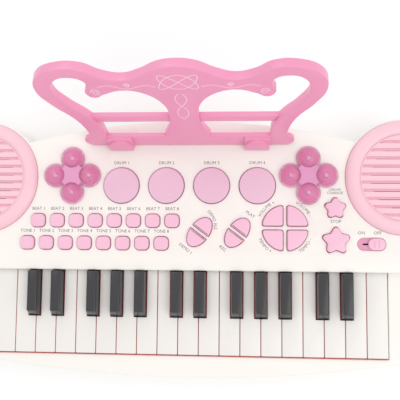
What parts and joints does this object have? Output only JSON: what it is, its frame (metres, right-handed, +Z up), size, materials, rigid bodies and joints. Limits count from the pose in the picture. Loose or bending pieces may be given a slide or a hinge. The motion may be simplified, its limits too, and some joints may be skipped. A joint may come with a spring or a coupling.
{
  "type": "toy electronic keyboard",
  "caption": "Toy electronic keyboard with hinged piano keys, drum pads, shaped buttons, a slide switch, two round speakers, flower lamps and a lift-out music stand.",
  "frame": {"origin": "under the middle of the whole toy's bounding box, on the plane of the feet", "axes": "+X along the keys to the high notes, +Y to the rear, +Z up"},
  "size_m": [0.424, 0.2181, 0.1512],
  "materials": {
    "casing_plastic": "satin moulded ABS",
    "white_key_plastic": "polished moulded ABS",
    "black_key_plastic": "polished moulded ABS",
    "drum_pad_plastic": "polished moulded ABS",
    "button_plastic": "polished moulded ABS",
    "grille_plastic": "polished moulded ABS",
    "stand_plastic": "polished moulded ABS",
    "lens_plastic": "clear moulded styrene",
    "driver_paper": "pressed paper cone and painted basket",
    "circuit_board": "solder mask over laminate",
    "silicone": "moulded silicone",
    "steel": "bright zinc",
    "cell_jacket": "printed sleeve, no marks"
  },
  "bodies": {
    "casing": {"upper_casing": "casing_plastic", "lower_casing": "casing_plastic", "battery_door": "casing_plastic", "speaker_grilles": "grille_plastic", "flower_lenses": "lens_plastic", "speaker_drivers": "driver_paper", "circuit_boards": "circuit_board", "contact_strip": "silicone", "key_pivot_rod": "steel", "batteries": "cell_jacket", "casing_screws": "steel"},
    "white_key_01": {"white_key_01": "white_key_plastic"},
    "white_key_02": {"white_key_02": "white_key_plastic"},
    "white_key_03": {"white_key_03": "white_key_plastic"},
    "white_key_04": {"white_key_04": "white_key_plastic"},
    "white_key_05": {"white_key_05": "white_key_plastic"},
    "white_key_06": {"white_key_06": "white_key_plastic"},
    "white_key_07": {"white_key_07": "white_key_plastic"},
    "white_key_08": {"white_key_08": "white_key_plastic"},
    "white_key_09": {"white_key_09": "white_key_plastic"},
    "white_key_10": {"white_key_10": "white_key_plastic"},
    "white_key_11": {"white_key_11": "white_key_plastic"},
    "white_key_12": {"white_key_12": "white_key_plastic"},
    "white_key_13": {"white_key_13": "white_key_plastic"},
    "white_key_14": {"white_key_14": "white_key_plastic"},
    "white_key_15": {"white_key_15": "white_key_plastic"},
    "white_key_16": {"white_key_16": "white_key_plastic"},
    "white_key_17": {"white_key_17": "white_key_plastic"},
    "white_key_18": {"white_key_18": "white_key_plastic"},
    "white_key_19": {"white_key_19": "white_key_plastic"},
    "black_key_01": {"black_key_01": "black_key_plastic"},
    "black_key_02": {"black_key_02": "black_key_plastic"},
    "black_key_03": {"black_key_03": "black_key_plastic"},
    "black_key_04": {"black_key_04": "black_key_plastic"},
    "black_key_05": {"black_key_05": "black_key_plastic"},
    "black_key_06": {"black_key_06": "black_key_plastic"},
    "black_key_07": {"black_key_07": "black_key_plastic"},
    "black_key_08": {"black_key_08": "black_key_plastic"},
    "black_key_09": {"black_key_09": "black_key_plastic"},
    "black_key_10": {"black_key_10": "black_key_plastic"},
    "black_key_11": {"black_key_11": "black_key_plastic"},
    "black_key_12": {"black_key_12": "black_key_plastic"},
    "drum_pad_1": {"drum_pad_1": "drum_pad_plastic"},
    "drum_pad_2": {"drum_pad_2": "drum_pad_plastic"},
    "drum_pad_3": {"drum_pad_3": "drum_pad_plastic"},
    "drum_pad_4": {"drum_pad_4": "drum_pad_plastic"},
    "demo_one_button": {"demo_one_button": "button_plastic"},
    "demo_all_button": {"demo_all_button": "button_plastic"},
    "record_button": {"record_button": "button_plastic"},
    "play_button": {"play_button": "button_plastic"},
    "volume_up_button": {"volume_up_button": "button_plastic"},
    "tempo_up_button": {"tempo_up_button": "button_plastic"},
    "volume_down_button": {"volume_down_button": "button_plastic"},
    "tempo_down_button": {"tempo_down_button": "button_plastic"},
    "drum_change_button": {"drum_change_button": "button_plastic"},
    "stop_button": {"stop_button": "button_plastic"},
    "rhythm_buttons": {"rhythm_buttons": "button_plastic"},
    "tone_buttons": {"tone_buttons": "button_plastic"},
    "power_switch_knob": {"power_switch_knob": "button_plastic"},
    "music_stand": {"music_stand": "stand_plastic"}
  },
  "joints": [
    {"name": "white_key_01_press", "type": "hinge", "parent": "casing", "child": "white_key_01", "pos_m": [-0.1458, 0.00693, 0.027], "axis": [1, 0, 0], "range_deg": [0, 2.5], "stiffness_Nm_per_rad": 0.8, "springref_deg": -1.15},
    {"name": "white_key_02_press", "type": "hinge", "parent": "casing", "child": "white_key_02", "pos_m": [-0.13265, 0.00693, 0.027], "axis": [1, 0, 0], "range_deg": [0, 2.5], "stiffness_Nm_per_rad": 0.8, "springref_deg": -1.15},
    {"name": "white_key_03_press", "type": "hinge", "parent": "casing", "child": "white_key_03", "pos_m": [-0.1134, 0.00693, 0.027], "axis": [1, 0, 0], "range_deg": [0, 2.5], "stiffness_Nm_per_rad": 0.8, "springref_deg": -1.15},
    {"name": "white_key_04_press", "type": "hinge", "parent": "casing", "child": "white_key_04", "pos_m": [-0.09415, 0.00693, 0.027], "axis": [1, 0, 0], "range_deg": [0, 2.5], "stiffness_Nm_per_rad": 0.8, "springref_deg": -1.15},
    {"name": "white_key_05_press", "type": "hinge", "parent": "casing", "child": "white_key_05", "pos_m": [-0.08475, 0.00693, 0.027], "axis": [1, 0, 0], "range_deg": [0, 2.5], "stiffness_Nm_per_rad": 0.8, "springref_deg": -1.15},
    {"name": "white_key_06_press", "type": "hinge", "parent": "casing", "child": "white_key_06", "pos_m": [-0.0661, 0.00693, 0.027], "axis": [1, 0, 0], "range_deg": [0, 2.5], "stiffness_Nm_per_rad": 0.8, "springref_deg": -1.15},
    {"name": "white_key_07_press", "type": "hinge", "parent": "casing", "child": "white_key_07", "pos_m": [-0.0473, 0.00693, 0.027], "axis": [1, 0, 0], "range_deg": [0, 2.5], "stiffness_Nm_per_rad": 0.8, "springref_deg": -1.15},
    {"name": "white_key_08_press", "type": "hinge", "parent": "casing", "child": "white_key_08", "pos_m": [-0.02865, 0.00693, 0.027], "axis": [1, 0, 0], "range_deg": [0, 2.5], "stiffness_Nm_per_rad": 0.8, "springref_deg": -1.15},
    {"name": "white_key_09_press", "type": "hinge", "parent": "casing", "child": "white_key_09", "pos_m": [-0.01925, 0.00693, 0.027], "axis": [1, 0, 0], "range_deg": [0, 2.5], "stiffness_Nm_per_rad": 0.8, "springref_deg": -1.15},
    {"name": "white_key_10_press", "type": "hinge", "parent": "casing", "child": "white_key_10", "pos_m": [0, 0.00693, 0.027], "axis": [1, 0, 0], "range_deg": [0, 2.5], "stiffness_Nm_per_rad": 0.8, "springref_deg": -1.15},
    {"name": "white_key_11_press", "type": "hinge", "parent": "casing", "child": "white_key_11", "pos_m": [0.01925, 0.00693, 0.027], "axis": [1, 0, 0], "range_deg": [0, 2.5], "stiffness_Nm_per_rad": 0.8, "springref_deg": -1.15},
    {"name": "white_key_12_press", "type": "hinge", "parent": "casing", "child": "white_key_12", "pos_m": [0.02865, 0.00693, 0.027], "axis": [1, 0, 0], "range_deg": [0, 2.5], "stiffness_Nm_per_rad": 0.8, "springref_deg": -1.15},
    {"name": "white_key_13_press", "type": "hinge", "parent": "casing", "child": "white_key_13", "pos_m": [0.0473, 0.00693, 0.027], "axis": [1, 0, 0], "range_deg": [0, 2.5], "stiffness_Nm_per_rad": 0.8, "springref_deg": -1.15},
    {"name": "white_key_14_press", "type": "hinge", "parent": "casing", "child": "white_key_14", "pos_m": [0.0661, 0.00693, 0.027], "axis": [1, 0, 0], "range_deg": [0, 2.5], "stiffness_Nm_per_rad": 0.8, "springref_deg": -1.15},
    {"name": "white_key_15_press", "type": "hinge", "parent": "casing", "child": "white_key_15", "pos_m": [0.08475, 0.00693, 0.027], "axis": [1, 0, 0], "range_deg": [0, 2.5], "stiffness_Nm_per_rad": 0.8, "springref_deg": -1.15},
    {"name": "white_key_16_press", "type": "hinge", "parent": "casing", "child": "white_key_16", "pos_m": [0.09415, 0.00693, 0.027], "axis": [1, 0, 0], "range_deg": [0, 2.5], "stiffness_Nm_per_rad": 0.8, "springref_deg": -1.15},
    {"name": "white_key_17_press", "type": "hinge", "parent": "casing", "child": "white_key_17", "pos_m": [0.1134, 0.00693, 0.027], "axis": [1, 0, 0], "range_deg": [0, 2.5], "stiffness_Nm_per_rad": 0.8, "springref_deg": -1.15},
    {"name": "white_key_18_press", "type": "hinge", "parent": "casing", "child": "white_key_18", "pos_m": [0.13265, 0.00693, 0.027], "axis": [1, 0, 0], "range_deg": [0, 2.5], "stiffness_Nm_per_rad": 0.8, "springref_deg": -1.15},
    {"name": "white_key_19_press", "type": "hinge", "parent": "casing", "child": "white_key_19", "pos_m": [0.1458, 0.00693, 0.027], "axis": [1, 0, 0], "range_deg": [0, 2.5], "stiffness_Nm_per_rad": 0.8, "springref_deg": -1.15},
    {"name": "black_key_01_press", "type": "hinge", "parent": "casing", "child": "black_key_01", "pos_m": [-0.1227, 0.00693, 0.027], "axis": [1, 0, 0], "range_deg": [0, 2.5], "stiffness_Nm_per_rad": 0.8, "springref_deg": -1.15},
    {"name": "black_key_02_press", "type": "hinge", "parent": "casing", "child": "black_key_02", "pos_m": [-0.1041, 0.00693, 0.027], "axis": [1, 0, 0], "range_deg": [0, 2.5], "stiffness_Nm_per_rad": 0.8, "springref_deg": -1.15},
    {"name": "black_key_03_press", "type": "hinge", "parent": "casing", "child": "black_key_03", "pos_m": [-0.0755, 0.00693, 0.027], "axis": [1, 0, 0], "range_deg": [0, 2.5], "stiffness_Nm_per_rad": 0.8, "springref_deg": -1.15},
    {"name": "black_key_04_press", "type": "hinge", "parent": "casing", "child": "black_key_04", "pos_m": [-0.0567, 0.00693, 0.027], "axis": [1, 0, 0], "range_deg": [0, 2.5], "stiffness_Nm_per_rad": 0.8, "springref_deg": -1.15},
    {"name": "black_key_05_press", "type": "hinge", "parent": "casing", "child": "black_key_05", "pos_m": [-0.0379, 0.00693, 0.027], "axis": [1, 0, 0], "range_deg": [0, 2.5], "stiffness_Nm_per_rad": 0.8, "springref_deg": -1.15},
    {"name": "black_key_06_press", "type": "hinge", "parent": "casing", "child": "black_key_06", "pos_m": [-0.0093, 0.00693, 0.027], "axis": [1, 0, 0], "range_deg": [0, 2.5], "stiffness_Nm_per_rad": 0.8, "springref_deg": -1.15},
    {"name": "black_key_07_press", "type": "hinge", "parent": "casing", "child": "black_key_07", "pos_m": [0.0093, 0.00693, 0.027], "axis": [1, 0, 0], "range_deg": [0, 2.5], "stiffness_Nm_per_rad": 0.8, "springref_deg": -1.15},
    {"name": "black_key_08_press", "type": "hinge", "parent": "casing", "child": "black_key_08", "pos_m": [0.0379, 0.00693, 0.027], "axis": [1, 0, 0], "range_deg": [0, 2.5], "stiffness_Nm_per_rad": 0.8, "springref_deg": -1.15},
    {"name": "black_key_09_press", "type": "hinge", "parent": "casing", "child": "black_key_09", "pos_m": [0.0567, 0.00693, 0.027], "axis": [1, 0, 0], "range_deg": [0, 2.5], "stiffness_Nm_per_rad": 0.8, "springref_deg": -1.15},
    {"name": "black_key_10_press", "type": "hinge", "parent": "casing", "child": "black_key_10", "pos_m": [0.0755, 0.00693, 0.027], "axis": [1, 0, 0], "range_deg": [0, 2.5], "stiffness_Nm_per_rad": 0.8, "springref_deg": -1.15},
    {"name": "black_key_11_press", "type": "hinge", "parent": "casing", "child": "black_key_11", "pos_m": [0.1041, 0.00693, 0.027], "axis": [1, 0, 0], "range_deg": [0, 2.5], "stiffness_Nm_per_rad": 0.8, "springref_deg": -1.15},
    {"name": "black_key_12_press", "type": "hinge", "parent": "casing", "child": "black_key_12", "pos_m": [0.1227, 0.00693, 0.027], "axis": [1, 0, 0], "range_deg": [0, 2.5], "stiffness_Nm_per_rad": 0.8, "springref_deg": -1.15},
    {"name": "drum_pad_1_press", "type": "slide", "parent": "casing", "child": "drum_pad_1", "axis": [0, 0, -1], "range_m": [0, 0.0015], "stiffness_N_per_m": 600, "springref_m": -0.001},
    {"name": "drum_pad_2_press", "type": "slide", "parent": "casing", "child": "drum_pad_2", "axis": [0, 0, -1], "range_m": [0, 0.0015], "stiffness_N_per_m": 600, "springref_m": -0.001},
    {"name": "drum_pad_3_press", "type": "slide", "parent": "casing", "child": "drum_pad_3", "axis": [0, 0, -1], "range_m": [0, 0.0015], "stiffness_N_per_m": 600, "springref_m": -0.001},
    {"name": "drum_pad_4_press", "type": "slide", "parent": "casing", "child": "drum_pad_4", "axis": [0, 0, -1], "range_m": [0, 0.0015], "stiffness_N_per_m": 600, "springref_m": -0.001},
    {"name": "demo_one_button_press", "type": "slide", "parent": "casing", "child": "demo_one_button", "axis": [0, 0, -1], "range_m": [0, 0.0015], "stiffness_N_per_m": 400, "springref_m": -0.001},
    {"name": "demo_all_button_press", "type": "slide", "parent": "casing", "child": "demo_all_button", "axis": [0, 0, -1], "range_m": [0, 0.0015], "stiffness_N_per_m": 400, "springref_m": -0.001},
    {"name": "record_button_press", "type": "slide", "parent": "casing", "child": "record_button", "axis": [0, 0, -1], "range_m": [0, 0.0015], "stiffness_N_per_m": 400, "springref_m": -0.001},
    {"name": "play_button_press", "type": "slide", "parent": "casing", "child": "play_button", "axis": [0, 0, -1], "range_m": [0, 0.0015], "stiffness_N_per_m": 400, "springref_m": -0.001},
    {"name": "volume_up_button_press", "type": "slide", "parent": "casing", "child": "volume_up_button", "axis": [0, 0, -1], "range_m": [0, 0.0015], "stiffness_N_per_m": 400, "springref_m": -0.001},
    {"name": "tempo_up_button_press", "type": "slide", "parent": "casing", "child": "tempo_up_button", "axis": [0, 0, -1], "range_m": [0, 0.0015], "stiffness_N_per_m": 400, "springref_m": -0.001},
    {"name": "volume_down_button_press", "type": "slide", "parent": "casing", "child": "volume_down_button", "axis": [0, 0, -1], "range_m": [0, 0.0015], "stiffness_N_per_m": 400, "springref_m": -0.001},
    {"name": "tempo_down_button_press", "type": "slide", "parent": "casing", "child": "tempo_down_button", "axis": [0, 0, -1], "range_m": [0, 0.0015], "stiffness_N_per_m": 400, "springref_m": -0.001},
    {"name": "drum_change_button_press", "type": "slide", "parent": "casing", "child": "drum_change_button", "axis": [0, 0, -1], "range_m": [0, 0.0015], "stiffness_N_per_m": 400, "springref_m": -0.001},
    {"name": "stop_button_press", "type": "slide", "parent": "casing", "child": "stop_button", "axis": [0, 0, -1], "range_m": [0, 0.0015], "stiffness_N_per_m": 400, "springref_m": -0.001},
    {"name": "rhythm_buttons_press", "type": "slide", "parent": "casing", "child": "rhythm_buttons", "axis": [0, 0, -1], "range_m": [0, 0.0015], "stiffness_N_per_m": 400, "springref_m": -0.001},
    {"name": "tone_buttons_press", "type": "slide", "parent": "casing", "child": "tone_buttons", "axis": [0, 0, -1], "range_m": [0, 0.0015], "stiffness_N_per_m": 400, "springref_m": -0.001},
    {"name": "power_switch_slide", "type": "slide", "parent": "casing", "child": "power_switch_knob", "axis": [-1, 0, 0], "range_m": [0, 0.008]},
    {"name": "music_stand_lift", "type": "slide", "parent": "casing", "child": "music_stand", "axis": [0, 0.2554, 0.9668], "range_m": [0, 0.04]}
  ]
}
